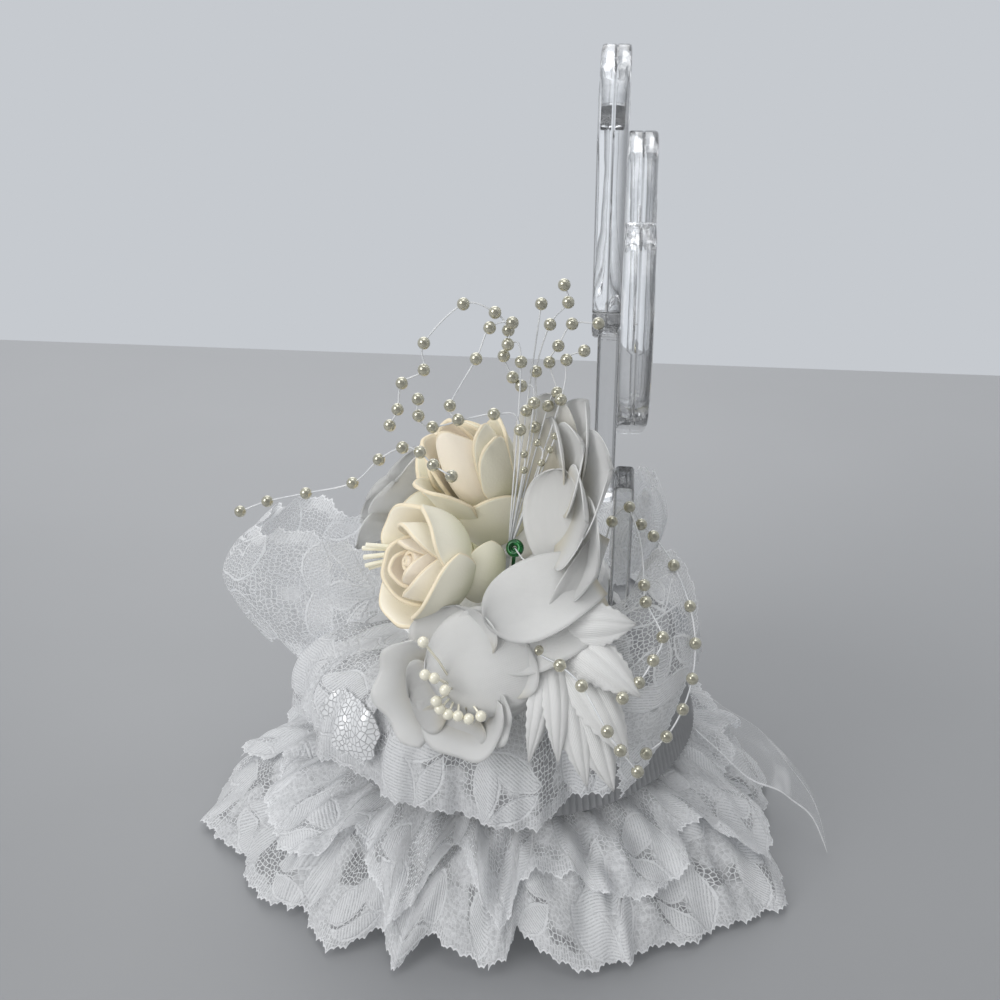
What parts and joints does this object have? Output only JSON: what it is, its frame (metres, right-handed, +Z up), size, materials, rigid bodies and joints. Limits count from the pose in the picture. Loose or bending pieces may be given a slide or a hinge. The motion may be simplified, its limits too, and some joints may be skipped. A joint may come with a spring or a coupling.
{
  "type": "wedding cake topper",
  "caption": "Wedding cake topper: clear open hearts on a stem behind foam roses, silk blossoms and pearl sprays, on a fluted drum dressed with gathered lace ruffles.",
  "frame": {"origin": "centre of the pedestal's underside, on the table", "axes": "+Z up, -Y the way the topper faces, the hearts stand behind the flowers at +Y, +X towards the viewer of the picture"},
  "size_m": [0.1632, 0.1711, 0.2052],
  "materials": {
    "white_plastic": "plain moulded plastic",
    "grey_plastic": "frosted fluted plastic",
    "white_foam": "white florist's foam",
    "clear_acrylic": "clear polished acrylic",
    "white_lace": "white net lace with satin motifs",
    "organza": "sheer white organza",
    "cream_foam": "matte cream craft foam shading to pale green",
    "stem_green": "pale green calyx and wrapped wire",
    "white_silk": "white woven silk petals",
    "white_satin": "pleated white satin",
    "pearl": "champagne pearl with clear filament",
    "green_bead": "glossy dark green bead on a thin wire"
  },
  "bodies": {
    "root": {"base_pedestal": "white_plastic", "fluted_drum": "grey_plastic", "foam_dome": "white_foam", "heart_post": "clear_acrylic", "heart_stem": "clear_acrylic", "heart_front": "clear_acrylic", "heart_rear": "clear_acrylic", "lace_skirt": "white_lace", "lace_collar": "white_lace", "lace_loop_front": "white_lace", "lace_loop_rear": "white_lace", "lace_ruff_far": "white_lace", "lace_flounce_side": "white_lace", "organza_tail": "organza", "rose_upper_bloom": "cream_foam", "rose_lower_bloom": "cream_foam", "rose_upper_stem": "stem_green", "rose_lower_stem": "stem_green", "blossom_upper_stem": "stem_green", "blossom_lower_stem": "stem_green", "blossom_front_stem": "stem_green", "blossom_upper_outer_layer": "white_silk", "blossom_upper_inner_layer": "white_silk", "blossom_lower_outer_layer": "white_silk", "blossom_lower_inner_layer": "white_silk", "blossom_front_outer_layer": "white_silk", "blossom_front_inner_layer": "white_silk", "blossom_lower_stamens": "pearl", "satin_leaf_spray": "white_satin", "pearl_spray_top": "pearl", "pearl_strand_side": "pearl", "pearl_strand_leaf": "pearl", "florist_pin": "green_bead"}
  },
  "joints": []
}
